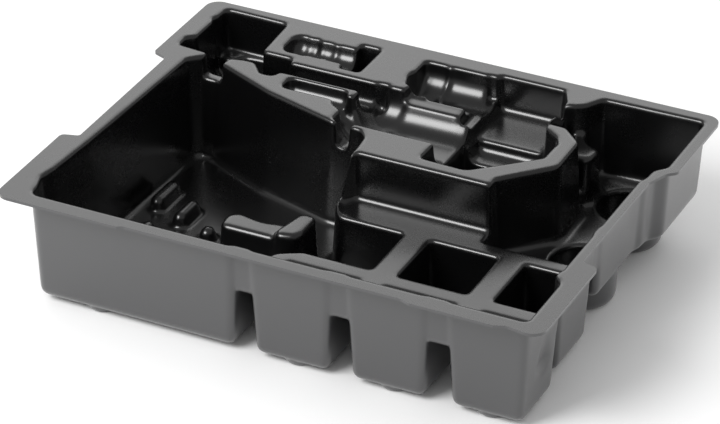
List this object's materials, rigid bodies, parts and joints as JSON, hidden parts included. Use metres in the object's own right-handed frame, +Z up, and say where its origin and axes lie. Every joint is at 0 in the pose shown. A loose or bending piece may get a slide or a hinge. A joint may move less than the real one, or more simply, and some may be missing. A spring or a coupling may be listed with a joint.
{
  "type": "case insert",
  "caption": "Vacuum-formed black plastic insert for a tool case, with a deep bay, small bins, a round-cupped pocket and tool-shaped recesses.",
  "frame": {"origin": "centre of the bounding box in plan, on the plane the feet stand on", "axes": "+X to the right along the long side of the rim, +Y from the front rim (with the small bins) to the back, +Z up, open side up"},
  "size_m": [0.388, 0.3076, 0.083],
  "materials": {
    "tray": "glossy black formed sheet, satin on the outer walls and the rim"
  },
  "bodies": {
    "root": {"tray": "tray"}
  },
  "joints": []
}
